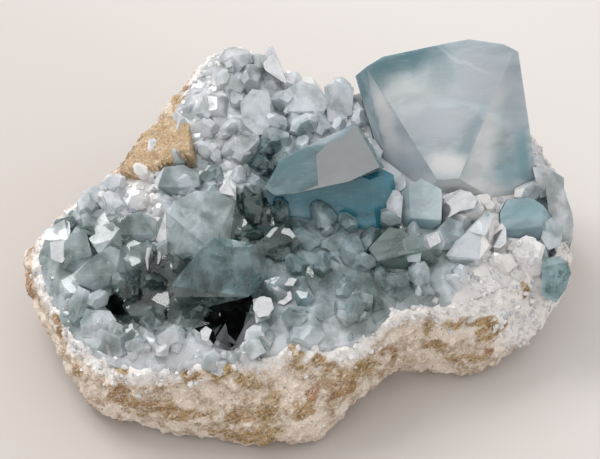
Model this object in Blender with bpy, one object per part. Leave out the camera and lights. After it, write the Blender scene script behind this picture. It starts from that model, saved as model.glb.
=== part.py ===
"""A cluster of celestite crystals grown on a lump of pale marly rock.

+X is to the right of the viewer, +Y away from them and +Z up. The rock rests on z = 0 on a cut
flat, and the origin is under the middle of the cluster. Sizes below are millimetres from the
front of the rock, which new_object turns into metres from ORIGIN. "Seen" places are read the way
the cluster is looked at: how far right of the middle, how far up from its lowest front edge, and
how far out towards the viewer.
"""

import math
import random

import bmesh
import bpy
from mathutils import Matrix, Vector, geometry, noise

MM = 0.001
GAP = 0.3

# The way the cluster is looked at
VIEW_ELEVATION = math.radians(50)
VIEW_DISTANCE = 620
VIEW_CENTRE_UP = 53.4

# The rock
ORIGIN = Vector((-0.26, 46.15, 0.0))
BED_FRONT_HEIGHT = 27.0
BED_FRONT_Y = 8.0
BED_RISE = 0.25
BED_DROP_AT_ENDS = 10.0
HALF_WIDTH = 66.0
BED_BACK_Y = 95.0
HOLLOWS = ((-17.0, 15.5, 7.0, 13.0), (-45.5, 20.0, 4.5, 8.0))  # x, y, radius and depth
HOLLOW_RINGS = ((0.55, 5), (1.15, 8))  # share of the radius, and points round it
COLUMNS_PER_STATION = 2
WALL_ROWS = 5
BED_STEP = 6.5
BED_STEP_SHIFT = 0.25
BED_STEP_SEED = 1796101478
NEAREST_POINTS = 0.6
FOOT_ROWS = ((0.62, 0.0), (0.22, 0.4))  # how far in from the belly, and height, as shares of its height
ROCK_LUMP = 1.5
ROCK_LUMP_SIZE = 11.0
OTHER_LUMPS = Vector((40, 0, 0))
WALL_BULGE = 1.5
BED_LUMP = 0.7

# Angles between the normals of celestite's faces
TO_CHISEL_FACE = math.radians(39.4)
TO_ROOF_FACE = math.radians(52.06)
TO_PRISM_FACE = math.radians(37.95)
FLATNESS = 0.85
TIP_WIDTH = 0.3

# The rock's upper edge as x, y from above, and under each place the widest part of its wall as
# x, y and height, going round from the left tip by the front.
RIM = (
    (-66, 39), (-60, 22), (-51, 11), (-40, 5), (-25, 5), (-9, 7), (5, 8), (14, 10), (24, 19),
    (38, 22), (50, 28), (61, 36), (66, 45), (66, 57), (60, 71), (45, 79), (25, 79), (9, 77),
    (-3, 80), (-10, 88), (-19, 91), (-26, 85), (-32, 74), (-38, 67), (-45, 59), (-54, 53),
    (-62, 47),
)
BELLY = (
    (-69, 40, 14), (-61, 23, 12), (-53, 7, 9), (-40, 3, 7), (-25, 0, 6), (-9, -3, 6),
    (5, -1, 6), (14, 8, 8), (25, 18, 10), (38, 18, 12), (50, 20, 12), (62, 30, 13),
    (68, 43, 16), (68, 58, 16), (62, 74, 16), (46, 84, 16), (25, 85, 18), (9, 83, 20),
    (-3, 86, 22), (-11, 93, 24), (-21, 96, 25), (-31, 92, 24), (-40, 81, 24), (-46, 73, 22),
    (-53, 64, 20), (-60, 57, 18), (-67, 49, 16),
)
BED_MIDDLE = (-8.0, 45.0)

# Each crystal that stands out, as it is seen: the corners of its outline, its faces and how far
# its first face stands out from the bed. A face is a place and the degrees that it leans to the
# right and up from facing the viewer. The place is on the first face, so that each later face
# meets that one there.
LARGE = {
    "great_crystal": (
        ((14, 92), (16.5, 94), (22, 97.3), (35, 99.6), (41.8, 101), (51, 99.7), (54.6, 97.8),
         (60, 65), (56, 55), (40, 50), (26, 56), (21, 68)),
        ((38, 66, -3, -15), (26, 79, -34, -29), (46, 80.6, 22, -23), (37.7, 66, 0, -50),
         (17, 92.5, -67, -22)),
        9.0, 2.0,
    ),
    "prism_crystal": (
        ((-9, 63.5), (-4.5, 71), (11.5, 79.5), (14, 80), (20.5, 68.5), (12.5, 65.3), (0, 62.5),
         (-6, 61.5)),
        ((8, 70, 0, 12), (5, 74.5, -10, 50), (-3, 66, -35, 0)),
        17.0, 6.0,
    ),
    "teal_crystal": (
        ((-9, 63), (0, 67), (17, 70), (23.5, 67), (24, 61), (24, 55.5), (18, 52), (7, 50),
         (2, 52), (-7, 58)),
        ((8, 58, -5, -18), (18.3, 60, 35, -10), (6, 52.3, 0, -55), (15, 66.5, 15, 40)),
        5.5, 6.0,
    ),
    "pointed_crystal": (
        ((17, 48.5), (22, 54), (25.5, 53.5), (35, 45.3), (26.5, 42.5), (21, 43.8)),
        ((25, 49.5, -10, 18), (25, 46.8, 5, -40)),
        8.0, 6.0,
    ),
    "pale_crystal": (
        ((22, 60), (25, 62.5), (30.5, 66), (35.3, 63.5), (35.6, 61.5), (35.3, 55), (31, 51),
         (26, 53), (23, 56.3)),
        ((31.5, 60, 3, -3), (27.5, 59.5, -50, -5), (31, 56, 0, -45)),
        9.0, 6.0,
    ),
    "blue_crystal": (
        ((50, 57.5), (51.8, 61), (58, 61.3), (61, 59.3), (64, 55.2), (64, 52), (61, 49),
         (54, 47), (50.3, 51)),
        ((56.5, 57.5, 0, 10), (57, 53.8, 5, -35), (60.5, 56.5, 40, 5)),
        8.0, 6.0,
    ),
}
GROWN = (
    # the right-hand group
    (((36, 61.5), (40, 63.5), (43.8, 61.8), (46, 58.5), (44, 53), (38, 50.5), (35.8, 54)),
     ((40, 60, -5, 12), (40, 57, 8, -35)), 7.0),
    (((41.5, 53), (47, 58.3), (48.5, 56), (48.8, 49.5), (44, 46)),
     ((44.5, 54, -20, 5), (46, 53.5, 30, -10)), 9.0),
    (((48.5, 52.8), (50.5, 55), (51.5, 53.5), (51.8, 49.5), (48.5, 47.5)),
     ((50, 51.5, 0, 5), (50, 50, 0, -40)), 8.0),
    (((36.5, 47), (39, 50.5), (42, 53), (45.5, 53), (47.5, 49.5), (44.5, 45.5), (40, 43.5)),
     ((42, 49, 0, 0), (42, 46, 0, -40)), 7.0),
    (((30, 50), (31.6, 52), (35, 53.3), (36.3, 50), (35, 46.5), (31, 46)),
     ((33.7, 50.8, -5, 8), (33.5, 48.5, 0, -35)), 7.0),
    (((52, 49.5), (56.5, 52), (61.3, 49.3), (62.3, 46), (60, 42), (55, 41), (52, 44)),
     ((57, 49, 0, 15), (57, 46.5, 0, -30), (60, 48, 40, 0)), 6.0),
    (((58, 69.5), (60.5, 70), (66, 66.5), (66, 63), (60, 61.5)), ((62.5, 66, 25, 5),), 8.0),
    (((62, 64), (66, 63.5), (68, 58), (68.5, 54), (67.5, 48), (63.5, 46)),
     ((66.5, 56, 35, 0), (66.5, 52, 30, -35)), 5.0),
    (((60.5, 46), (65, 46.8), (67, 45), (67.8, 42.5), (66.5, 38.5), (64, 35), (60.5, 37)),
     ((65, 42, 15, -10), (65, 45, 5, 30)), 5.0),
    # the left-hand group
    (((-64, 53), (-59, 56), (-57.5, 55), (-57.5, 48), (-59, 44.8), (-63, 46.5), (-63.6, 50)),
     ((-61, 53, -10, 35), (-60.5, 50.8, -10, -5)), 7.0),
    (((-59, 50), (-56, 54), (-53.5, 53), (-52, 47), (-53.5, 43.5), (-56.5, 42.5), (-59, 44)),
     ((-56, 49, -5, 5), (-55, 46, 5, -30)), 8.0),
    (((-56.3, 42.8), (-52.5, 46), (-47.5, 49.3), (-43, 47.5), (-42.3, 44), (-44.5, 41.5),
      (-48, 39), (-51, 37.8), (-55.5, 40)),
     ((-49.5, 45.5, 0, 8), (-49, 42, 0, -35), (-45.5, 45, 40, 0)), 9.0),
    (((-53, 51), (-47, 55.3), (-44.5, 53), (-44.5, 48.5), (-50.5, 47.5)),
     ((-49, 52, -15, 25), (-47.5, 50.5, 20, 0)), 8.0),
    (((-55, 57), (-50, 58.5), (-45, 57), (-47.5, 52), (-53.8, 52)),
     ((-50.5, 56, 0, 20),), 6.0),
    (((-46, 56.2), (-40, 58), (-36, 56), (-36, 51), (-40, 48), (-44.5, 48.5)),
     ((-41, 54.5, 0, 15), (-41, 52, 0, -20)), 7.0),
    (((-42.5, 49), (-38, 50.5), (-36.5, 47), (-38, 43), (-42, 43.5)), ((-40, 47, 0, -10),), 6.0),
    (((-58, 35), (-55.3, 39.3), (-52.5, 37.8), (-52, 33.5), (-55.5, 31), (-58, 32.5)),
     ((-55.5, 37, -25, 10), (-54.5, 35.5, 25, -5)), 6.0),
    (((-55, 30.5), (-51.5, 33.3), (-47.5, 33), (-45.5, 30), (-49, 26.5), (-54, 26)),
     ((-51, 31, -5, 15), (-51, 29.5, 0, -20)), 5.0),
    (((-50.5, 26.2), (-45, 30.8), (-41.5, 28.5), (-41, 25.5), (-45, 23.5)),
     ((-45.5, 28, -5, 20),), 5.0),
    (((-43.5, 34), (-38, 36.5), (-33.5, 33.5), (-34, 30.5), (-41, 30)),
     ((-39, 34, -5, 15), (-39, 32, 0, -30)), 5.0),
    # the middle group
    (((-36, 51), (-35.5, 55.5), (-31, 60.5), (-26.5, 63), (-20.5, 63), (-16, 60.5),
      (-12.5, 55), (-14, 51), (-20, 47), (-27, 43.5), (-32, 43.5), (-35, 46.5)),
     ((-24, 57.5, 0, 15), (-29.5, 54.5, -25, -15), (-18.5, 56, 30, 0)), 10.0),
    (((-32, 39.5), (-30.5, 42.5), (-26, 47), (-22, 51.5), (-17.5, 51), (-11, 49.5),
      (-8.3, 46.5), (-8.5, 41.5), (-12, 37.5), (-16.5, 33), (-22, 32.8), (-27, 33.8),
      (-31, 36)),
     ((-19, 44, 0, -12), (-19, 49, 0, 30), (-12.5, 44, 40, -10), (-20, 36.5, 0, -60)), 12.0),
    (((-13.8, 61), (-10.5, 62), (-9.4, 59), (-10, 55), (-12, 54.8), (-13.8, 57.5)),
     ((-11.5, 58.5, -5, -20),), 9.0),
    (((-20, 63), (-18, 65.8), (-16, 64), (-16, 60.5), (-18, 60)), ((-18, 63.2, -20, 10),), 10.0),
    (((-36.5, 65.5), (-34, 69), (-29, 69.5), (-25.5, 67.5), (-25, 64.5), (-28, 62.3),
      (-34, 62)),
     ((-31, 66.5, 0, 10), (-31, 64, 0, -35)), 7.0),
    (((-10, 50.5), (-6.5, 54), (-2.5, 53.5), (0, 50), (-3, 47), (-9, 47)),
     ((-6, 52, -5, 25), (-5, 49.5, 10, -20)), 6.0),
    (((-12, 35.8), (-8.8, 36.8), (-6.8, 34), (-7.8, 31), (-11, 30)), ((-9.5, 34, 5, 20),), 6.0),
    # the upper group
    (((-4, 88), (0, 90.5), (4, 89.5), (7, 85), (5, 80), (-2, 79)),
     ((1, 86, 0, 10), (1, 83, 0, -30)), 7.0),
    (((6, 89), (9, 90.5), (13.5, 89), (13, 82), (7, 80)), ((10, 87, 10, 0),), 7.0),
    (((-15, 85), (-12, 88.5), (-8, 88), (-5.8, 82), (-6, 78), (-11, 77), (-14.5, 80)),
     ((-10.5, 84, 0, 5), (-7.5, 83, 50, 0)), 7.0),
    (((-9.8, 95.5), (-7, 99.8), (-3.2, 90.5), (-7, 90)), ((-7, 94, 10, 5),), 6.0),
)
GROWN_TAPER = 5.0
LONGEST = 60.0
ROOT = 3.0
BACK_OF_LARGE_Y = 84.0
BACK_LEAN = 0.2

# The crust of small crystals
CRUST_THICKNESS = 3.2
CRUST_EDGE_THICKNESS = 1.0
CRUST_EDGE = 0.985
ROOT_ABOVE_ROCK = 0.8
SMALL_CRYSTALS = 95
SMALL_APART = 6.0
SMALL_HALF = (1.8, 3.4)
SMALL_TALL = (2.6, 5.0)
SMALL_TILT = 45
CLEAR_OF_LARGER = 1.5
OUT_TO_THE_RIM = 0.9
TRIES_PER_CRYSTAL = 30
SEED = 11

# Colour, roughness and how clear it is
LOOKS = {
    "matrix": ((0.60, 0.53, 0.45), 0.9, 0.0),
    "druse": ((0.36, 0.43, 0.45), 0.15, 0.6),
    "great_crystal": ((0.42, 0.50, 0.55), 0.1, 0.6),
    "prism_crystal": ((0.25, 0.33, 0.37), 0.05, 0.7),
    "teal_crystal": ((0.08, 0.18, 0.22), 0.05, 0.8),
    "pointed_crystal": ((0.17, 0.25, 0.27), 0.1, 0.7),
    "pale_crystal": ((0.50, 0.55, 0.60), 0.15, 0.5),
    "blue_crystal": ((0.28, 0.38, 0.44), 0.1, 0.7),
}
CELESTITE_IOR = 1.62
ROCK_IOR = 1.5


def seen(across, up, out):
    """World millimetres of the place seen there, and this far towards the viewer."""
    nearer = (VIEW_DISTANCE - out) / VIEW_DISTANCE
    across = across * nearer
    up = VIEW_CENTRE_UP + (up - VIEW_CENTRE_UP) * nearer
    sin, cos = math.sin(VIEW_ELEVATION), math.cos(VIEW_ELEVATION)
    return Vector((across, up * sin - out * cos, up * cos + out * sin))


def bed_height(x, y):
    """Height of the rock under the crystals: it tips towards the viewer and falls to both ends."""
    height = BED_FRONT_HEIGHT + BED_RISE * (y - BED_FRONT_Y)
    height -= BED_DROP_AT_ENDS * (x / HALF_WIDTH) ** 2
    for hollow_x, hollow_y, radius, depth in HOLLOWS:
        away = ((x - hollow_x) ** 2 + (y - hollow_y) ** 2) / radius**2
        height -= depth * math.exp(-away * 1.5)
    return height


def out_on_bed(across, up, above=0.0):
    """How far out the bed lies where it is seen, or a place this far above it."""
    out = 0.0
    for _ in range(12):
        place = seen(across, up, out)
        out += (bed_height(place.x, place.y) + above - place.z) * 0.7
    return out


def on_bed(across, up, above=0.0):
    return seen(across, up, out_on_bed(across, up, above))


def bed_normal(x, y):
    step = 1.0
    slope_x = (bed_height(x + step, y) - bed_height(x - step, y)) / (2 * step)
    slope_y = (bed_height(x, y + step) - bed_height(x, y - step)) / (2 * step)
    return Vector((-slope_x, -slope_y, 1)).normalized()


def spline(points, t):
    """The point a fraction t of the way round a closed smooth curve through the points."""
    count = len(points)
    i = int(t * count) % count
    u = t * count - int(t * count)
    a, b, c, d = (Vector(points[(i + k) % count]) for k in (-1, 0, 1, 2))
    return 0.5 * (
        2 * b + (c - a) * u + (2 * a - 5 * b + 4 * c - d) * u**2 + (3 * b - a - 3 * c + d) * u**3
    )


def lumps(place, size, amount):
    return noise.fractal(place / size, 0.9, 2.0, 3) * amount


def wall_rows(extra=0.0):
    """Rings of points from the rock's foot up its wall to the rim, moved out by extra."""
    count = len(RIM) * COLUMNS_PER_STATION
    middle = Vector(BED_MIDDLE)
    rows = [[] for _ in range(3 + WALL_ROWS)]
    for k in range(count):
        rim = spline(RIM, k / count)
        belly = spline(BELLY, k / count)
        outward = Vector((belly.x - middle.x, belly.y - middle.y, 0)).normalized()
        for j, (inset, height) in enumerate(FOOT_ROWS):
            place = belly - outward * belly.z * inset
            place.z = belly.z * height
            if j:
                place += outward * lumps(place, ROCK_LUMP_SIZE, ROCK_LUMP)
            rows[j].append(place + outward * extra)
        top = Vector((rim.x, rim.y, bed_height(rim.x, rim.y)))
        for j in range(WALL_ROWS):
            f = j / WALL_ROWS
            place = belly.lerp(top, f)
            place += outward * math.sin(math.pi * f) * WALL_BULGE
            place += outward * (lumps(place, ROCK_LUMP_SIZE, ROCK_LUMP) + extra)
            place.z += lumps(place + OTHER_LUMPS, ROCK_LUMP_SIZE, ROCK_LUMP / 2)
            rows[2 + j].append(place)
        rows[-1].append(bed_point(rim.x, rim.y, extra))
    return rows


def bed_point(x, y, above=0.0):
    place = Vector((x, y, bed_height(x, y) + above))
    place.z += lumps(Vector((x, y, 0)), ROCK_LUMP_SIZE, BED_LUMP)
    return place


def new_object(name, bm, at=ORIGIN):
    """An object of this mesh, with its own origin at this place."""
    bmesh.ops.transform(bm, matrix=Matrix.Scale(MM, 4) @ Matrix.Translation(-at), verts=bm.verts)
    bmesh.ops.recalc_face_normals(bm, faces=bm.faces)
    mesh = bpy.data.meshes.new(name)
    bm.to_mesh(mesh)
    bm.free()
    obj = bpy.data.objects.new(name, mesh)
    obj.location = (at - ORIGIN) * MM
    bpy.context.collection.objects.link(obj)
    return obj


def paint(obj):
    """The object's own material, which has its name."""
    colour, roughness, clear = LOOKS[obj.name]
    material = bpy.data.materials.new(obj.name)
    material.use_nodes = True
    shader = material.node_tree.nodes["Principled BSDF"]
    shader.inputs["Base Color"].default_value = (*colour, 1)
    shader.inputs["Roughness"].default_value = roughness
    shader.inputs["Metallic"].default_value = 0
    shader.inputs["Transmission Weight"].default_value = clear
    shader.inputs["IOR"].default_value = CELESTITE_IOR if clear else ROCK_IOR
    obj.data.materials.append(material)


def facing(right, up):
    """The way a face looks that leans this many degrees right and up from facing the viewer."""
    right, up = math.radians(right), math.radians(up)
    across = math.sin(right) * math.cos(up)
    upward = math.sin(up)
    out = math.cos(right) * math.cos(up)
    sin, cos = math.sin(VIEW_ELEVATION), math.cos(VIEW_ELEVATION)
    return Vector((across, upward * sin - out * cos, upward * cos + out * sin))


def first_hit(faces, across, up):
    """The place where the line of sight meets a solid with these front faces."""
    eye = seen(0, VIEW_CENTRE_UP, VIEW_DISTANCE)
    ray = seen(across, up, 0) - eye
    reach = max((place - eye).dot(normal) / ray.dot(normal) for place, normal in faces)
    return eye + ray * reach


def seen_crystal(outline, faces, rise, taper):
    """The planes of a crystal with this outline: front faces, sides that taper back, a root."""
    across, up, right, lean = faces[0]
    anchor = seen(across, up, out_on_bed(across, up) + rise)
    planes = [(anchor, facing(right, lean))]
    for across, up, right, lean in faces[1:]:
        planes.append((first_hit(planes[:1], across, up), facing(right, lean)))
    corners = [first_hit(planes, *corner) for corner in outline]
    middle = sum(corners, Vector()) / len(corners)
    back = facing(0, 0) * -1
    for a, b in zip(corners, corners[1:] + corners[:1]):
        normal = (b - a).cross(back).normalized()
        if normal.dot(middle - a) > 0:
            normal = -normal
        planes.append((a, (normal + back * math.tan(math.radians(taper))).normalized()))
    foot = Vector((middle.x, middle.y, bed_height(middle.x, middle.y) - ROOT))
    planes.append((foot, Vector((0, BED_RISE, -1)).normalized()))
    planes.append((middle + back * LONGEST, back))
    return planes


def small_crystal(place, axis, turn, half, tall):
    """The planes of a small crystal of celestite: a long six-sided prism with a chisel tip."""
    side = axis.orthogonal().normalized()
    side.rotate(Matrix.Rotation(turn, 3, axis))
    across = axis.cross(side)
    planes = [(place - axis * ROOT, -axis)]
    for way in (-1, 1):
        planes.append((place + side * way * half * FLATNESS, side * way))
        for other in (-1, 1):
            roof = across * way * math.sin(TO_ROOF_FACE) + side * other * math.cos(TO_ROOF_FACE)
            planes.append((place + roof * half, roof))
        chisel = axis * math.sin(TO_CHISEL_FACE) + side * way * math.cos(TO_CHISEL_FACE)
        planes.append((place + axis * tall, chisel))
        prism = axis * math.cos(TO_PRISM_FACE) + across * way * math.sin(TO_PRISM_FACE)
        planes.append((place + axis * (tall + half * TIP_WIDTH), prism))
    return planes


def polyhedron(planes, extra=0.0):
    """The solid inside all the planes, which are moved out by extra."""
    bm = bmesh.new()
    bmesh.ops.create_cube(bm, size=400, matrix=Matrix.Translation(planes[0][0]))
    for place, normal in planes:
        everything = bm.verts[:] + bm.edges[:] + bm.faces[:]
        cut = bmesh.ops.bisect_plane(
            bm, geom=everything, dist=1e-5, plane_co=place + normal * extra, plane_no=normal,
            clear_outer=True,
        )["geom_cut"]
        edges = [part for part in cut if isinstance(part, bmesh.types.BMEdge)]
        if edges:
            bmesh.ops.contextual_create(bm, geom=edges)
    return bm


def skin(bm, rows):
    """Faces between neighbouring rings of vertices."""
    for lower, upper in zip(rows, rows[1:]):
        count = len(lower)
        for k in range(count):
            n = (k + 1) % count
            bm.faces.new((lower[k], lower[n], upper[n], upper[k]))


def bed_layout():
    """Triangles over the bed from above: places, of which the rim comes first, and corners."""
    count = len(RIM) * COLUMNS_PER_STATION
    places = [spline(RIM, k / count) for k in range(count)]
    for x, y, radius, _ in HOLLOWS:
        places.append(Vector((x, y)))
        for share, corners in HOLLOW_RINGS:
            for k in range(corners):
                turn = math.tau * (k + share) / corners
                around = Vector((math.cos(turn), math.sin(turn)))
                places.append(Vector((x, y)) + around * radius * share)
    # Without a seed, the noise vectors differ from run to run
    noise.seed_set(BED_STEP_SEED)
    column_step = BED_STEP * math.sqrt(0.75)
    for i in range(int(2 * HALF_WIDTH / column_step) + 1):
        for j in range(int(BED_BACK_Y / BED_STEP) + 1):
            place = Vector((-HALF_WIDTH + i * column_step, (j + i % 2 / 2) * BED_STEP))
            place += noise.noise_vector(Vector((*place, 5))).xy * BED_STEP * BED_STEP_SHIFT
            if all((place - other).length > BED_STEP * NEAREST_POINTS for other in places):
                places.append(place)
    around = [(k, (k + 1) % count) for k in range(count)]
    _, _, faces, sources, _, _ = geometry.delaunay_2d_cdt(places, around, [], 1, 1e-4)
    first = [source[0] for source in sources]
    return places, [[first[i] for i in face] for face in faces], count


def bed_sheet(bm, ring, layout, above):
    """Faces over the bed inside this ring of vertices, at this height above the rock."""
    places, faces, count = layout
    verts = dict(enumerate(ring))
    for face in faces:
        for i in face:
            if i not in verts:
                verts[i] = bm.verts.new(bed_point(*places[i], above))
        bm.faces.new([verts[i] for i in face])


def rock(name, layout, extra=0.0):
    """The rock, or its shape made larger by extra."""
    bm = bmesh.new()
    rows = [[bm.verts.new(place) for place in row] for row in wall_rows(extra)]
    skin(bm, rows)
    bm.faces.new(rows[0])
    bed_sheet(bm, rows[-1], layout, extra)
    return new_object(name, bm)


def crust(name, layout):
    """The sheet of crystal that lines the bed, thin at the rim."""
    bm = bmesh.new()
    places, _, count = layout
    middle = Vector(BED_MIDDLE)
    rows = []
    for share, above in ((1, GAP), (CRUST_EDGE, CRUST_EDGE_THICKNESS)):
        flats = [middle.lerp(place, share) for place in places[:count]]
        rows.append([bm.verts.new(bed_point(flat.x, flat.y, above)) for flat in flats])
    skin(bm, rows)
    bed_sheet(bm, rows[0], layout, GAP)
    bed_sheet(bm, rows[1], layout, CRUST_THICKNESS)
    return new_object(name, bm)


def inside(planes, place, margin):
    return all((place - point).dot(normal) < margin for point, normal in planes)


def scattered(larger):
    """Small crystals all over the bed, apart from each other and clear of the larger ones."""
    draw = random.Random(SEED)
    kept, made = [], []
    middle = Vector(BED_MIDDLE)
    for _ in range(SMALL_CRYSTALS * TRIES_PER_CRYSTAL):
        if len(kept) == SMALL_CRYSTALS:
            break
        edge = spline(RIM, draw.random())
        flat = middle.lerp(edge, math.sqrt(draw.random()) * OUT_TO_THE_RIM)
        place = bed_point(flat.x, flat.y, CRUST_THICKNESS)
        tilt = bed_normal(flat.x, flat.y)
        lean = math.radians(SMALL_TILT) * draw.random()
        sideways = Vector((draw.uniform(-1, 1), draw.uniform(-1, 1), 0))
        tilt = (tilt + sideways * math.sin(lean)).normalized()
        turn = draw.uniform(0, math.pi)
        half = draw.uniform(*SMALL_HALF)
        tall = draw.uniform(*SMALL_TALL)
        if any((place - other).length < SMALL_APART for other in kept):
            continue
        if any((flat.xy - Vector((x, y))).length < radius for x, y, radius, _ in HOLLOWS):
            continue
        if any(inside(planes, place + tilt * tall / 2, CLEAR_OF_LARGER) for planes in larger):
            continue
        kept.append(place)
        made.append(small_crystal(place, tilt, turn, half, tall))
    return made


def hidden(name, objects):
    """A collection of these objects, hidden, for a Boolean to use."""
    group = bpy.data.collections.new(name)
    bpy.context.scene.collection.children.link(group)
    for obj in objects:
        bpy.context.collection.objects.unlink(obj)
        group.objects.link(obj)
        obj.hide_render = True
        obj.display_type = "WIRE"
    return group


def boolean(obj, operation, group):
    modifier = obj.modifiers.new(operation.title(), "BOOLEAN")
    modifier.operation = operation
    modifier.solver = "EXACT"
    modifier.operand_type = "COLLECTION"
    modifier.collection = group


def crystals(name, shapes, extra=0.0):
    """A hidden collection of the crystals with these planes."""
    made = []
    for i, planes in enumerate(shapes):
        made.append(new_object(f"{name}_{i}", polyhedron(planes, extra), planes[0][0]))
    return hidden(name, made)


for old in list(bpy.data.objects):
    bpy.data.objects.remove(old, do_unlink=True)
back = (Vector((0, BACK_OF_LARGE_Y, BED_FRONT_HEIGHT)), Vector((0, 1, BACK_LEAN)).normalized())
large = {name: seen_crystal(*shape) + [back] for name, shape in LARGE.items()}
grown = [seen_crystal(*shape, GROWN_TAPER) for shape in GROWN]
small = scattered(list(large.values()) + grown)
layout = bed_layout()

# The large crystals stand in sockets, which leave a small gap around them.
sockets = crystals("sockets", large.values(), GAP)
matrix = rock("matrix", layout)
boolean(matrix, "DIFFERENCE", sockets)

# The roots of the other crystals end in the crust, just above the rock.
roots = new_object("roots", bmesh.new())
boolean(roots, "UNION", crystals("grown", grown + small))
boolean(roots, "DIFFERENCE", hidden("rock", [rock("rock", layout, ROOT_ABOVE_ROCK)]))
druse = crust("druse", layout)
boolean(druse, "UNION", hidden("roots", [roots]))
boolean(druse, "DIFFERENCE", sockets)

# Each large crystal stops at those that are in front of it in the list.
for i, (name, planes) in enumerate(large.items()):
    crystal = new_object(name, polyhedron(planes), planes[0][0])
    paint(crystal)
    if i:
        before = list(large.values())[:i]
        boolean(crystal, "DIFFERENCE", crystals(f"before_{name}", before, GAP))
paint(matrix)
paint(druse)
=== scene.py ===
"""The look of a celestite crystal cluster on pale rock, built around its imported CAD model."""

import math
import random

import bmesh
import bpy
import numpy as np
from mathutils import Matrix, Vector, noise
from mathutils.bvhtree import BVHTree


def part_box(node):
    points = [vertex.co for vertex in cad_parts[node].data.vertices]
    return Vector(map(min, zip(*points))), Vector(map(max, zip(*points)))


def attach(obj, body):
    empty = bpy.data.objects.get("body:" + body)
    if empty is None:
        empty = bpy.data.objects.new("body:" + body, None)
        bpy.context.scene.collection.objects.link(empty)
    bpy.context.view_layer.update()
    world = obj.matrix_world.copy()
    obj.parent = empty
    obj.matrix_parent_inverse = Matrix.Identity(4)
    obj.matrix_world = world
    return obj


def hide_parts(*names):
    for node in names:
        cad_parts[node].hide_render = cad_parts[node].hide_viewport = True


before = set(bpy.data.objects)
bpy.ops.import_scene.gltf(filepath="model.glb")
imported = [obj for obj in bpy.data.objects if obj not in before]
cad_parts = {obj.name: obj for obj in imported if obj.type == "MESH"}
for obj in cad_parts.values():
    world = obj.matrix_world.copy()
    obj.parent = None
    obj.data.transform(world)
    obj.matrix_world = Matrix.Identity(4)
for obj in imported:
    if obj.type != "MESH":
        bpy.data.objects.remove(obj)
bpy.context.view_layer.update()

MM = 0.001

noise.seed_set(3)

# The photograph's view: 600 pixels wide, 4 to a millimetre at the cluster
VIEW_ELEVATION = math.radians(50)
VIEW_DISTANCE = 620 * MM
VIEW_CENTRE = Vector((0.26, -5.28, 34.31)) * MM
FRAME_WIDTH = 150 * MM
PIXEL = 0.25 * MM
MIDDLE_PIXEL = (300, 229.5)
SENSOR = 36

TO_VIEWER = Vector((0, -math.cos(VIEW_ELEVATION), math.sin(VIEW_ELEVATION)))
VIEW_UP = Vector((0, math.sin(VIEW_ELEVATION), math.cos(VIEW_ELEVATION)))
EYE = VIEW_CENTRE + TO_VIEWER * VIEW_DISTANCE
TO_WINDOW = Vector((-0.45, 0.35, 0.82)).normalized()

# Angles between the normals of celestite's faces
TO_CHISEL_FACE = math.radians(39.4)
TO_ROOF_FACE = math.radians(52.06)
TO_PRISM_FACE = math.radians(37.95)

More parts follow.
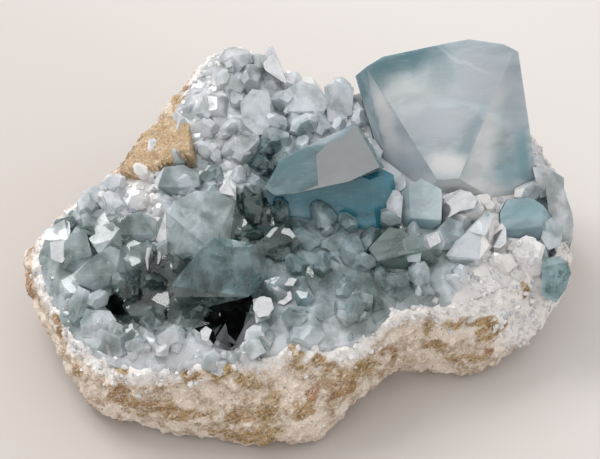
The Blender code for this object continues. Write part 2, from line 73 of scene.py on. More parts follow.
# Each large crystal: how milky, its clear and its pale colour, its zones, and what it absorbs. A
# zone is a tone, x, y, half its width and height in pixels, its turn in degrees, its strength and,
# where it keeps to one facet, how that facet leans.
FRONT_FACET, LEFT_FACET, RIGHT_FACET = (-3, -15), (-34, -29), (22, -23)
LARGE = {
    "great_crystal": (
        0.5, (0.48, 0.63, 0.67), (0.63, 0.69, 0.75),
        (("green", 440, 80, 22, 30, 0, 0.7), ("pale", 482, 78, 44, 44, 0, 0.9),
         ("deep", 398, 60, 44, 13, 12, 0.95), ("deep", 378, 78, 12, 12, 0, 0.8),
         ("deep", 361, 88, 8, 17, 0, 0.8),
         ("pale", 388, 140, 30, 60, 24, 0.95, LEFT_FACET), ("deep", 368, 126, 6, 26, 14, 0.6, LEFT_FACET),
         ("white", 384, 118, 7, 50, 16, 0.9, LEFT_FACET), ("white", 402, 160, 18, 24, 24, 0.7, LEFT_FACET), ("pale", 408, 168, 26, 16, 0, 0.8, LEFT_FACET),
         ("white", 415, 106, 50, 40, 0, 0.6, FRONT_FACET), ("pale", 440, 140, 40, 30, 0, 0.5, FRONT_FACET),
         ("grey", 470, 138, 7, 36, -22, 0.75, FRONT_FACET), ("grey", 442, 74, 12, 24, 10, 0.5, FRONT_FACET),
         # The white patch at 447, 166, low on the front facet, is a painted reflection.
         ("white", 462, 62, 34, 2, -28, 0.3), ("white", 447, 166, 24, 14, 0, 1.0, FRONT_FACET), ("pale", 425, 120, 34, 22, 20, 0.5, FRONT_FACET),
         ("white", 484, 145, 14, 60, -14, 0.75, RIGHT_FACET), ("teal", 510, 172, 14, 26, 0, 0.6, RIGHT_FACET),
         # The wide white patch at 448, 194 is painted light on the lower facets, which face down away from the lamps.
         ("teal", 536, 160, 8, 44, 10, 0.8, RIGHT_FACET), ("pale", 520, 110, 14, 36, -10, 0.7, RIGHT_FACET), ("white", 448, 194, 80, 18, 0, 1.0)),
        (0.55, 0.74, 0.78), 30,
    ),
    "prism_crystal": (
        0.25, (0.24, 0.42, 0.47), (0.40, 0.50, 0.54),
        (("deep", 290, 162, 26, 16, 0, 0.6), ("pale", 330, 136, 24, 5, 25, 0.6)),
        (0.45, 0.66, 0.70), 50,
    ),
    "teal_crystal": (
        0.15, (0.05, 0.42, 0.57), (0.11, 0.54, 0.67),
        # The deep zone at 350, 192, under the prism's edge, is partly the crystal's deep teal and partly painted shade
        # from the prism above it.
        (("deep", 350, 192, 44, 16, 0, 0.7), ("teal", 330, 225, 40, 10, 0, 0.5),
         ("pale", 298, 214, 12, 14, 0, 0.4)),
        (0.25, 0.62, 0.72), 80,
    ),
    "pointed_crystal": (0.2, (0.20, 0.32, 0.31), (0.42, 0.50, 0.49), (), (0.5, 0.68, 0.68), 60),
    "pale_crystal": (
        0.5, (0.50, 0.66, 0.71), (0.68, 0.76, 0.81), (("teal", 418, 226, 22, 10, 0, 0.7),),
        (0.6, 0.74, 0.78), 40,
    ),
    "blue_crystal": (
        0.35, (0.42, 0.64, 0.72), (0.62, 0.75, 0.80), (("teal", 525, 210, 24, 12, 0, 0.5),),
        (0.5, 0.70, 0.75), 40,
    ),
}
TONES = {
    "deep": ((0.08, 0.25, 0.30), 0.45), "teal": ((0.22, 0.46, 0.53), 0.5),
    "green": ((0.30, 0.49, 0.50), 0.5), "grey": ((0.42, 0.53, 0.58), 0.5),
    "pale": ((0.54, 0.59, 0.65), 0.7), "white": ((0.76, 0.76, 0.77), 0.9),
}

# The small crystals by pixel: x, y, radius, how milky, dark and teal, and their size in mm; dark is partly their own
# deep tone and partly painted shade of depth
REGIONS = (
    (215, 60, 40, 0.95, 0.00, 0.08, 3.6), (200, 110, 40, 0.85, 0.00, 0.05, 2.4),
    (250, 110, 30, 0.80, 0.00, 0.12, 3.4), (262, 70, 25, 0.75, 0.00, 0.10, 3.2),
    (150, 185, 30, 1.20, 0.00, 0.05, 1.9), (110, 200, 30, 0.95, 0.05, 0.10, 1.8),
    (180, 180, 25, 0.55, 0.10, 0.35, 3.0), (330, 105, 40, 1.02, 0.00, 0.20, 3.4),
    (295, 125, 25, 0.75, 0.00, 0.30, 2.8), (95, 240, 35, 0.40, 0.12, 0.40, 3.0),
    (75, 290, 25, 0.65, 0.05, 0.30, 2.6), (70, 330, 25, 0.50, 0.10, 0.40, 3.0),
    (100, 350, 30, 0.80, 0.00, 0.15, 2.6), (160, 350, 30, 0.80, 0.00, 0.15, 2.4),
    (220, 358, 30, 0.85, 0.00, 0.10, 2.2), (280, 350, 30, 0.85, 0.00, 0.15, 2.0),
    (330, 345, 30, 0.75, 0.00, 0.10, 1.8), (375, 335, 30, 0.60, 0.00, 0.20, 2.0),
    (150, 300, 30, 0.20, 0.60, 0.50, 3.4), (190, 300, 25, 0.20, 0.60, 0.50, 3.4),
    (300, 270, 40, 0.40, 0.15, 0.60, 3.4), (340, 285, 40, 0.45, 0.10, 0.55, 3.4),
    (300, 320, 30, 0.60, 0.10, 0.40, 2.8), (270, 235, 20, 0.20, 0.60, 0.80, 2.8),
    (255, 250, 20, 0.30, 0.40, 0.70, 2.6), (385, 290, 25, 0.35, 0.35, 0.50, 2.8),
    (420, 300, 20, 0.65, 0.15, 0.35, 2.8), (440, 275, 30, 0.65, 0.05, 0.35, 3.2),
    (512, 282, 44, 1.30, 0.00, 0.00, 1.7), (560, 220, 20, 0.75, 0.00, 0.10, 3.0),
    (560, 270, 20, 0.35, 0.10, 0.60, 3.0), (475, 298, 28, 1.30, 0.00, 0.00, 1.6),
    (272, 152, 12, 0.35, 0.20, 0.80, 2.2), (285, 175, 14, 0.30, 0.40, 0.80, 2.4),
)
# The single crystals that differ from what is round them: x, y, radius, milky, dark, teal
SINGLE = (
    (460, 203, 14, 0.85, 0.0, 0.1), (478, 225, 11, 0.7, 0.0, 0.3), (500, 237, 8, 0.9, 0.0, 0.1),
    (528, 250, 16, 1.15, 0.0, 0.1), (560, 282, 16, 0.3, 0.1, 0.8), (56, 236, 12, 0.9, 0.0, 0.1),
    (102, 255, 17, 0.4, 0.15, 0.4), (104, 232, 12, 0.45, 0.1, 0.3), (136, 225, 14, 0.35, 0.2, 0.4),
    (205, 212, 30, 0.55, 0.0, 0.35), (180, 240, 16, 0.45, 0.1, 0.45), (222, 268, 34, 0.25, 0.25, 0.9),
    (265, 150, 16, 0.3, 0.15, 0.7), (158, 224, 10, 0.45, 0.1, 0.3), (262, 306, 9, 1.0, 0.0, 0.1), (228, 190, 8, 1.0, 0.0, 0.1), (268, 65, 12, 0.9, 0.0, 0.05),
    (258, 107, 18, 0.7, 0.0, 0.1), (180, 180, 20, 0.5, 0.05, 0.35), (318, 108, 18, 1.0, 0.0, 0.2),
    (342, 100, 14, 1.0, 0.0, 0.15),
)
# The hollows between the crystals, where the bed is painted black as shade: x, y, radius
HOLLOWS = ((230, 318, 20), (212, 330, 12), (246, 302, 10), (117, 307, 11))

# Facets that mirror the window to the camera, by their corners in pixels
BRIGHT = (
    ((50, 243), (57, 237), (66, 240), (68, 254), (62, 263), (51, 259)),
    ((227, 181), (235, 196), (218, 193)),
    ((255, 299), (262, 296), (271, 298), (274, 308), (268, 316), (258, 317), (253, 309)),
    ((283, 285), (289, 278), (297, 279), (293, 286)),
    ((278, 303), (283, 293), (291, 291), (292, 299), (284, 305)),
    ((443, 196), (450, 193), (459, 190), (471, 192), (477, 200), (474, 208), (460, 211), (444, 220)),
    ((494, 234), (499, 223), (506, 229), (506, 243), (500, 248), (493, 247)),
    ((389, 203), (397, 193), (402, 196), (400, 212), (402, 229), (395, 225)),
    ((549, 251), (554, 247), (557, 253), (553, 257)),
    ((269, 46), (262, 60), (265, 70), (280, 80), (287, 84), (281, 66)),
    ((427, 238), (438, 231), (441, 242), (430, 248)),
    ((200, 331), (206, 326), (212, 330), (208, 341), (202, 340)),
)
# Paler facets that stand a little out of the bed: corners in pixels, lean right and up, tone
FACETS = (
    (((386, 196), (391, 190), (398, 190), (403, 197), (401, 222), (392, 226), (387, 214)), (-14, 16), (0.9, 0.0, 0.2)),
    (((432, 236), (448, 217), (462, 222), (466, 240), (452, 250), (436, 250)), (6, 4), (0.6, 0.0, 0.5)),
    (((545, 222), (556, 214), (563, 226), (561, 246), (548, 250), (541, 238)), (20, 2), (0.7, 0.0, 0.3)),
    (((402, 240), (414, 233), (424, 240), (420, 262), (408, 262)), (-6, -4), (0.6, 0.0, 0.4)),
    (((468, 231), (489, 211), (494, 215), (486, 235), (478, 234)), (-12, 20), (0.85, 0.0, 0.2)),
)

# Stains on the rock: x, y, half the width and height in pixels, the turn in degrees, how rusty
STAINS = (
    (188, 374, 12, 6, 0, 0.3), (218, 371, 18, 8, 0, 0.1), (246, 381, 17, 7, -10, 0.2),
    (295, 356, 9, 17, 0, 0.1), (323, 365, 10, 7, 0, 0.2), (363, 370, 20, 6, 20, 0.1),
    (389, 352, 9, 4, 10, 0.7), (118, 395, 11, 8, 0, 0.5), (147, 406, 38, 7, -10, 0.3),
    (186, 414, 22, 8, -8, 0.2), (238, 418, 14, 8, 0, 0.3), (268, 409, 10, 16, -35, 0.1),
    (314, 395, 6, 13, -20, 0.9), (303, 409, 13, 8, 20, 0.2), (268, 432, 15, 8, 0, 0.1),
    (245, 438, 34, 5, -14, 0.3), (123, 367, 7, 6, 0, 0.2), (345, 390, 16, 6, 35, 0.5),
    (489, 324, 17, 6, -5, 0.2), (464, 323, 15, 4, 5, 0.2), (484, 335, 8, 8, 0, 0.2),
    (428, 331, 6, 8, -30, 0.1), (435, 345, 11, 4, 0, 0.3), (488, 350, 5, 6, 0, 0.9),
    (464, 358, 22, 4, 0, 0.2), (459, 292, 12, 6, 0, 0.1), (526, 289, 4, 7, 0, 0.1),
    (27, 284, 5, 17, 0, 0.7), (60, 325, 4, 12, 25, 0.4), (76, 369, 4, 8, 20, 0.4),
    (188, 88, 6, 6, 0, 0.9), (180, 102, 9, 6, 0, 0.1), (152, 150, 44, 22, 40, 0.2),
)
# The bare rock that shows through the crystals on the upper arm, by its corners in pixels
BARE = ((119, 170), (133, 150), (150, 128), (170, 116), (190, 121), (190, 150), (173, 155),
        (160, 163), (143, 169), (128, 173))
# The mirror-bright step on the prism, and the curl of white crystal: corners in pixels
STEP = ((355, 124), (370, 149), (380, 167), (350, 181), (301, 192), (318, 185), (316, 155),
        (328, 143), (343, 137))
CURL = ((148, 270), (147, 259), (149, 249), (154, 244), (159, 248), (160, 257), (158, 264))


def sight(px, py):
    """The direction in which the eye sees this pixel."""
    right = (px - MIDDLE_PIXEL[0]) * PIXEL
    up = (MIDDLE_PIXEL[1] - py) * PIXEL
    return (VIEW_CENTRE + Vector((right, 0, 0)) + VIEW_UP * up - EYE).normalized()


def pixels(places):
    """The pixels at which these places are seen, as two arrays."""
    away = np.asarray(places) - np.array(EYE)
    depth = -away @ np.array(TO_VIEWER)
    scale = VIEW_DISTANCE / PIXEL / depth
    return MIDDLE_PIXEL[0] + away[:, 0] * scale, MIDDLE_PIXEL[1] - away @ np.array(VIEW_UP) * scale


def facing(right, up):
    """The way a face looks that leans this many degrees right and up from facing the viewer."""
    right, up = math.radians(right), math.radians(up)
    across = Vector((math.sin(right) * math.cos(up), 0, 0))
    return across + VIEW_UP * math.sin(up) + TO_VIEWER * math.cos(right) * math.cos(up)


def tree_of(*names):
    bm = bmesh.new()
    for name in names:
        bm.from_mesh(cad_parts[name].data)
    tree = BVHTree.FromBMesh(bm)
    bm.free()
    return tree


def tones(places, table=REGIONS):
    """The values of this table there, blended."""
    x, y = pixels(places)
    total = np.full(len(x), 1e-6)
    blend = np.outer(total, table[0][3:])
    for px, py, radius, *values in table:
        weight = np.exp(-((x - px) ** 2 + (y - py) ** 2) / (0.5 * radius**2)) * (30 / radius) ** 2
        total += weight
        blend += np.outer(weight, values)
    return blend / total[:, None]


def in_hollow(places):
    """How far each place is inside a hollow, from 0 to 1, where the bed is painted black as shade."""
    x, y = pixels(places)
    share = np.zeros(len(x))
    for px, py, radius in HOLLOWS:
        share = np.maximum(share, 2.2 - np.hypot(x - px, y - py) / radius * 2)
    return np.clip(share, 0, 1)


def inside(corners, x, y):
    """Which of these pixels are inside the polygon, and how far from its edges all of them are."""
    within = np.zeros(len(x), bool)
    away = np.full(len(x), 1e9)
    for (ax, ay), (bx, by) in zip(corners, corners[1:] + corners[:1]):
        t = np.clip(((x - ax) * (bx - ax) + (y - ay) * (by - ay)) / ((bx - ax) ** 2 + (by - ay) ** 2), 0, 1)
        away = np.minimum(away, np.hypot(x - ax - t * (bx - ax), y - ay - t * (by - ay)))
        crosses = ((ay > y) != (by > y)) & (x < (bx - ax) * (y - ay) / (by - ay + 1e-9) + ax)
        within ^= crosses
    return within, away


def covered(places):
    """Which places are seen where a bright facet, a bare patch or the curl is."""
    x, y = pixels(places)
    hidden = np.zeros(len(x), bool)
    for corners in BRIGHT + tuple(facet[0] for facet in FACETS) + (BARE, CURL):
        within, away = inside(corners, x, y)
        hidden |= within | (away < 3)
    return hidden


def welded(node):
    """A copy of the node's mesh with its faces joined."""
    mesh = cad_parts[node].data.copy()
    bm = bmesh.new()
    bm.from_mesh(mesh)
    bmesh.ops.remove_doubles(bm, verts=bm.verts, dist=1e-6)
    bmesh.ops.dissolve_limit(bm, angle_limit=math.radians(1), verts=bm.verts, edges=bm.edges)
    bm.to_mesh(mesh)
    bm.free()
    return mesh


def new_object(name, mesh):
    obj = bpy.data.objects.new(name, mesh)
    bpy.context.scene.collection.objects.link(obj)
    return obj


def new_mesh(name, verts, faces, shares=()):
    """A mesh with a value for each vertex under each name in shares."""
    mesh = bpy.data.meshes.new(name)
    mesh.from_pydata([tuple(v) for v in verts], [], faces)
    bm = bmesh.new()
    bm.from_mesh(mesh)
    bmesh.ops.recalc_face_normals(bm, faces=bm.faces)
    bm.to_mesh(mesh)
    bm.free()
    give(mesh, shares)
    return new_object(name, mesh)


def give(mesh, shares):
    for key, values in dict(shares).items():
        layer = mesh.attributes.new(key, "FLOAT", "POINT")
        layer.data.foreach_set("value", np.asarray(values, np.float32))


def settle(obj, node, material):
    """Puts the piece on the cluster in place of this CAD node."""
    obj.data.materials.clear()
    obj.data.materials.append(material)
    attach(obj, "root")
    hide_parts(node)
    return obj


def polyhedron(planes, size):
    bm = bmesh.new()
    bmesh.ops.create_cube(bm, size=size)
    for place, normal in planes:
        everything = bm.verts[:] + bm.edges[:] + bm.faces[:]
        cut = bmesh.ops.bisect_plane(
            bm, geom=everything, dist=1e-6, plane_co=place, plane_no=normal, clear_outer=True
        )["geom_cut"]
        edges = [part for part in cut if isinstance(part, bmesh.types.BMEdge)]
        if edges:
            bmesh.ops.contextual_create(bm, geom=edges)
    return bm


# Materials

def material_tree(name):
    material = bpy.data.materials.new(name)
    material.use_nodes = True
    tree = material.node_tree
    return material, tree, tree.nodes["Principled BSDF"]


def add(tree, kind, inputs=(), **settings):
    """A node with these settings and inputs. An input is a value or another node's socket."""
    made = tree.nodes.new(kind)
    for key, value in settings.items():
        setattr(made, key, value)
    for key, value in dict(inputs).items():
        if isinstance(value, bpy.types.NodeSocket):
            tree.links.new(value, made.inputs[key])
        else:
            made.inputs[key].default_value = value
    return made


def place_in(tree):
    return add(tree, "ShaderNodeTexCoord").outputs["Object"]


def noise_in(tree, vector, scale, detail=4.0, rough=0.55, distortion=0.0):
    made = add(tree, "ShaderNodeTexNoise", {
        "Vector": vector, "Scale": scale, "Detail": detail, "Roughness": rough, "Distortion": distortion,
    })
    return made.outputs["Fac"]


def ranged(tree, value, low, high, to_low=0.0, to_high=1.0, smooth=True):
    made = add(tree, "ShaderNodeMapRange", {
        "Value": value, "From Min": low, "From Max": high, "To Min": to_low, "To Max": to_high,
    }, interpolation_type="SMOOTHSTEP" if smooth else "LINEAR")
    return made.outputs["Result"]


def maths(tree, operation, a, b=0.0, clamp=False):
    made = add(tree, "ShaderNodeMath", {0: a, 1: b}, operation=operation, use_clamp=clamp)
    return made.outputs["Value"]


def mixed(tree, factor, a, b):
    made = tree.nodes.new("ShaderNodeMix")
    made.data_type = "RGBA"
    for key, value in ((0, factor), (6, a), (7, b)):
        if isinstance(value, bpy.types.NodeSocket):
            tree.links.new(value, made.inputs[key])
        elif key:
            made.inputs[key].default_value = (*value, 1)
        else:
            made.inputs[key].default_value = value
    return made.outputs[2]


def attribute(tree, name):
    return add(tree, "ShaderNodeAttribute", attribute_name=name).outputs["Fac"]


def absorb(tree, colour, density):
    volume = add(tree, "ShaderNodeVolumeAbsorption", {"Color": (*colour, 1), "Density": density})
    tree.links.new(volume.outputs[0], tree.nodes["Material Output"].inputs["Volume"])


def view_place(tree, place, sizes, turn=0.0, centre=(0, 0, 0)):
    """The place in these sizes, across, up and towards where the photograph is taken from."""
    frame_turn = Matrix.Rotation(math.pi / 2 - VIEW_ELEVATION, 3, "X")
    frame_turn = frame_turn @ Matrix.Rotation(math.radians(turn), 3, "Z")
    return add(tree, "ShaderNodeMapping", {
        "Vector": place, "Location": centre, "Rotation": frame_turn.to_euler(), "Scale": sizes,
    }, vector_type="TEXTURE").outputs["Vector"]


def wavy(tree, place, scale, amount):
    """The place, shifted by noise."""
    shift = add(tree, "ShaderNodeTexNoise", {"Vector": place, "Scale": scale, "Detail": 3.0})
    centred = add(
        tree, "ShaderNodeVectorMath", {0: shift.outputs["Color"], 1: (0.5, 0.5, 0.5)},
        operation="SUBTRACT",
    )
    scaled = add(
        tree, "ShaderNodeVectorMath", {0: centred.outputs[0], "Scale": amount}, operation="SCALE"
    )
    return add(
        tree, "ShaderNodeVectorMath", {0: place, 1: scaled.outputs[0]}, operation="ADD"
    ).outputs[0]


def zone(tree, place, sight_of, px, py, wide, high, turn, strength, facet=None):
    """How much of a soft patch is there, which fades out from its middle."""
    centre = sight_of.ray_cast(EYE, sight(px, py))[0]
    if centre is None:
        centre = sight_of.find_nearest(EYE + sight(px, py) * VIEW_DISTANCE)[0]
    sizes = (wide * PIXEL, high * PIXEL, max(wide, high) * PIXEL * 1.5)
    local = view_place(tree, place, sizes, turn, centre)
    away = add(tree, "ShaderNodeVectorMath", {0: local}, operation="LENGTH").outputs["Value"]
    share = ranged(tree, away, 1.45, 0.35, 0, strength)
    if facet:
        normal = add(tree, "ShaderNodeNewGeometry").outputs["True Normal"]
        along = add(tree, "ShaderNodeVectorMath", {0: normal, 1: facing(*facet)}, operation="DOT_PRODUCT")
        share = maths(tree, "MULTIPLY", share, ranged(tree, along.outputs["Value"], 0.975, 0.99))
    return share


def finish_crystal(tree, shader, place, milk, colour, clear, rough, relief, broken, broken_size):
    """The shader's inputs. Broken is how far each face is broken up into smaller facets."""
    tree.links.new(colour, shader.inputs["Base Color"])
    tree.links.new(ranged(tree, milk, 0, 1, *clear, False), shader.inputs["Transmission Weight"])
    tree.links.new(ranged(tree, milk, 0, 1, *rough, False), shader.inputs["Roughness"])
    shader.inputs["IOR"].default_value = 1.62
    shader.inputs["Subsurface Weight"].default_value = 0.4
    shader.inputs["Subsurface Radius"].default_value = (0.9, 1, 1)
    shader.inputs["Subsurface Scale"].default_value = 2 * MM
    grain = noise_in(tree, place, 900, 4, 0.6)
    steps = noise_in(tree, view_place(tree, place, (9 * MM, 0.9 * MM, 3 * MM), 8), 1.0, 3, 0.6)
    height = maths(tree, "ADD", maths(tree, "MULTIPLY", grain, 0.5), steps)
    bent = wavy(tree, place, 300, 1.5 * MM)
    tilt = add(tree, "ShaderNodeTexVoronoi", {"Vector": bent, "Scale": 1 / (broken_size * MM)})
    centred = add(
        tree, "ShaderNodeVectorMath", {0: tilt.outputs["Color"], 1: (0.5, 0.5, 0.5)},
        operation="SUBTRACT",
    )
    tilted = add(
        tree, "ShaderNodeVectorMath",
        {0: centred.outputs[0], 1: (broken, broken, broken),
         2: add(tree, "ShaderNodeNewGeometry").outputs["Normal"]},
        operation="MULTIPLY_ADD",
    )
    normal = add(tree, "ShaderNodeVectorMath", {0: tilted.outputs[0]}, operation="NORMALIZE")
    bump = add(tree, "ShaderNodeBump", {
        "Strength": relief, "Distance": 0.12 * MM, "Height": height, "Normal": normal.outputs[0],
    })
    tree.links.new(bump.outputs["Normal"], shader.inputs["Normal"])


def cells(tree, place, scale):
    """Distance to the middle of each cell, 0 to about 1."""
    return add(tree, "ShaderNodeTexVoronoi", {"Vector": place, "Scale": scale}).outputs["Distance"]


def small_crystal_material():
    """Clear to milky crystal, after each crystal's own shares; the dark share is partly painted shade and the white
    specks are painted glitter.
    """
    material, tree, shader = material_tree("celestite_druse")
    place = place_in(tree)
    milky, dark, teal = (attribute(tree, name) for name in ("milky", "dark", "teal"))
    cloud = noise_in(tree, wavy(tree, place, 200, 4 * MM), 170, 3, 0.5)
    milk = maths(tree, "ADD", milky, ranged(tree, cloud, 0.3, 0.7, -0.3, 0.3), True)
    clear = mixed(tree, teal, (0.46, 0.54, 0.51), (0.17, 0.37, 0.41))
    pale = mixed(tree, teal, (0.72, 0.74, 0.79), (0.48, 0.64, 0.69))
    pale = mixed(tree, ranged(tree, milky, 0.95, 1.25), pale, (1.0, 0.97, 0.95))
    colour = mixed(tree, milk, clear, pale)
    # Painted glitter: tiny white specks on the milky crystals that stand in for sparkle.
    frost = maths(tree, "MULTIPLY", ranged(tree, cells(tree, place, 1500), 0.3, 0.1), milk)
    colour = mixed(tree, maths(tree, "MULTIPLY", frost, 0.5), colour, (0.92, 0.92, 0.93))
    # The dark share darkens the crystals: partly their own deep tone, partly painted shade of depth between them; from
    # 0.85 up it paints them black as shade in the hollows.
    colour = mixed(tree, ranged(tree, dark, 0, 0.8, 0, 0.85), colour, (0.07, 0.105, 0.10))
    colour = mixed(tree, ranged(tree, dark, 0.85, 1), colour, (0.003, 0.004, 0.004))
    finish_crystal(tree, shader, place, milk, colour, (0.9, 0.3), (0.03, 0.16), 0.2, 0.35, 2.6)
    absorb(tree, (0.6, 0.78, 0.80), 30)
    return material


def large_crystal_material(node):
    """Clear crystal with its own white veils and teal zones; a few zones are painted light and shade, as marked, and
    the white specks are painted glints.
    """
    base, clear, pale, patches, absorbed, density = LARGE[node]
    material, tree, shader = material_tree(node + "_celestite")
    place = place_in(tree)
    bent = wavy(tree, wavy(tree, wavy(tree, place, 60, 7 * MM), 220, 2 * MM), 800, 0.8 * MM)
    streaks = noise_in(tree, view_place(tree, bent, (9 * MM, 3.5 * MM, 6 * MM), 15), 1.0, 3, 0.5)
    milk = maths(tree, "ADD", base, ranged(tree, streaks, 0.3, 0.7, -0.15, 0.15), True)
    colour = mixed(tree, milk, clear, pale)
    sight_of = tree_of(node)
    for tone, *patch in patches:
        share = zone(tree, bent, sight_of, *patch)
        share = maths(tree, "MULTIPLY", share, ranged(tree, streaks, 0.25, 0.6, 0.8, 1.0), True)
        colour = mixed(tree, share, colour, TONES[tone][0])
        milk = add(tree, "ShaderNodeMix", {0: share, 2: milk, 3: TONES[tone][1]}).outputs[0]
    wisps = noise_in(tree, view_place(tree, bent, (3 * MM, 0.8 * MM, 3 * MM), 25), 1.0, 4, 0.6)
    colour = mixed(tree, ranged(tree, wisps, 0.6, 0.8, 0, 0.25), colour, (0.85, 0.87, 0.90))
    lines = noise_in(tree, view_place(tree, wavy(tree, place, 150, 1.5 * MM), (7 * MM, 0.6 * MM, 5 * MM), 4), 1.0, 3)
    colour = mixed(tree, ranged(tree, lines, 0.55, 0.7, 0, 0.12), colour, (0.88, 0.89, 0.92))
    colour = mixed(tree, ranged(tree, lines, 0.46, 0.32, 0, 0.08), colour, clear)
    # Painted glints: tiny white specks that stand in for sparkle.
    specks = ranged(tree, cells(tree, place, 900), 0.12, 0.05)
    colour = mixed(tree, maths(tree, "MULTIPLY", specks, 0.5), colour, (0.95, 0.95, 0.95))
    finish_crystal(tree, shader, place, milk, colour, (0.85, 0.1), (0.02, 0.12), 0.12, 0.06, 7)
    absorb(tree, absorbed, density)
    return material


def facet_material():
    """Clean facets that catch the window."""
    material, tree, shader = material_tree("window_facets")
    place = place_in(tree)
    cloud = ranged(tree, noise_in(tree, wavy(tree, place, 300, 2 * MM), 300, 4, 0.6), 0.35, 0.65)
    colour = mixed(tree, cloud, (0.13, 0.14, 0.16), (0.24, 0.25, 0.27))
    finish_crystal(tree, shader, place, attribute(tree, "milky"), colour, (0.6, 0.2), (0.05, 0.12), 0.1, 0.02, 3)
    return material


def painted_shade_hollow_material():
    """Painted shade: the black depth of a hollow, with a hint of the crystals down there."""
    material, tree, shader = material_tree("hollow_painted_shade")
    # Painted shade: near black, a little lighter at each cell's middle.
    depth = ranged(tree, cells(tree, place_in(tree), 350), 0.2, 0.7)
    tree.links.new(mixed(tree, depth, (0.012, 0.016, 0.016), (0.002, 0.002, 0.002)), shader.inputs["Base Color"])
    shader.inputs["Roughness"].default_value = 0.9
    shader.inputs["Specular IOR Level"].default_value = 0.05
    return material


def step_material():
    """A mirror-smooth grey growth layer."""
    material, tree, shader = material_tree("prism_step_celestite")
    place = place_in(tree)
    cloud = noise_in(tree, view_place(tree, place, (9 * MM, 3 * MM, 9 * MM), 20), 1.0, 3, 0.5)
    tree.links.new(mixed(tree, cloud, (0.15, 0.17, 0.18), (0.24, 0.26, 0.27)), shader.inputs["Base Color"])
    shader.inputs["Roughness"].default_value = 0.06
    shader.inputs["IOR"].default_value = 1.62
    shader.inputs["Transmission Weight"].default_value = 0.4
    return material


def rock_material():
    """Sugar-like cream rock with rusty and olive stains, frost near the crystals, painted glints, and pits painted
    dark as shade.
    """
    material, tree, shader = material_tree("matrix_rock")
    place = place_in(tree)
    stained, rusty, frosty = (attribute(tree, name) for name in ("stained", "rusty", "frosty"))
    fine = noise_in(tree, place, 1500, 3, 0.7)
    coarse = noise_in(tree, place, 420, 4, 0.65, 0.6)
    grain = maths(tree, "ADD", maths(tree, "MULTIPLY", fine, 0.55), maths(tree, "MULTIPLY", coarse, 0.45))
    coarser = noise_in(tree, wavy(tree, place, 300, 2 * MM), 200, 5, 0.6)
    dirt = maths(tree, "ADD", maths(tree, "MULTIPLY", grain, 0.4), maths(tree, "MULTIPLY", coarser, 0.6))
    cream = mixed(tree, ranged(tree, dirt, 0.38, 0.56), (0.34, 0.24, 0.14), (0.78, 0.69, 0.60))
    olive = mixed(tree, ranged(tree, grain, 0.36, 0.6), (0.17, 0.115, 0.04), (0.50, 0.36, 0.17))
    rust = mixed(tree, ranged(tree, grain, 0.36, 0.6), (0.16, 0.06, 0.03), (0.42, 0.23, 0.13))
    breaks = noise_in(tree, wavy(tree, place, 500, 2 * MM), 260, 6, 0.75)
    uneven = maths(tree, "MULTIPLY", maths(tree, "SUBTRACT", breaks, 0.5), 2.6)
    stain = ranged(tree, maths(tree, "ADD", stained, uneven), 0.25, 0.95)
    colour = mixed(tree, stain, cream, mixed(tree, rusty, olive, rust))
    streaks = noise_in(tree, view_place(tree, wavy(tree, place, 400, 2 * MM), (3 * MM, 0.7 * MM, 3 * MM), 35), 1.0)
    colour = mixed(tree, ranged(tree, streaks, 0.5, 0.68, 0, 0.7), colour, (0.74, 0.65, 0.56))
    specks = maths(tree, "MULTIPLY", ranged(tree, cells(tree, place, 700), 0.26, 0.12), stain)
    colour = mixed(tree, maths(tree, "MULTIPLY", specks, 0.7), colour, (0.09, 0.06, 0.04))
    lighter = ranged(tree, stained, 1.0, 1.4, 0, 0.45)
    colour = mixed(tree, lighter, colour, (0.58, 0.44, 0.29))
    grit = ranged(tree, cells(tree, wavy(tree, place, 900, 0.6 * MM), 1150), 0.1, 0.6)
    colour = mixed(tree, maths(tree, "MULTIPLY", grit, 0.22), colour, (0.14, 0.10, 0.07))
    # Painted glints: white specks that stand in for the sparkle of the rock's grains.
    painted_glint = ranged(tree, cells(tree, place, 1300), 0.24, 0.08, 0, 0.6)
    colour = mixed(tree, painted_glint, colour, (0.90, 0.88, 0.86))
    # Painted shade: dark dots that stand in for the shade inside the rock's pits.
    pit_shade = ranged(tree, cells(tree, wavy(tree, place, 500, 1 * MM), 420), 0.16, 0.06, 0, 0.7)
    colour = mixed(tree, pit_shade, colour, (0.10, 0.07, 0.05))
    frost = ranged(tree, maths(tree, "ADD", frosty, maths(tree, "SUBTRACT", coarse, 0.5)), 0.3, 0.7)
    colour = mixed(tree, frost, colour, mixed(tree, fine, (0.58, 0.56, 0.54), (0.86, 0.84, 0.82)))
    tree.links.new(colour, shader.inputs["Base Color"])
    shader.inputs["Roughness"].default_value = 0.85
    shader.inputs["Subsurface Weight"].default_value = 0.1
    shader.inputs["Subsurface Scale"].default_value = 1 * MM
    bump = add(tree, "ShaderNodeBump", {"Strength": 0.8, "Distance": 0.35 * MM, "Height": grain})
    tree.links.new(bump.outputs["Normal"], shader.inputs["Normal"])
    return material


# The rock

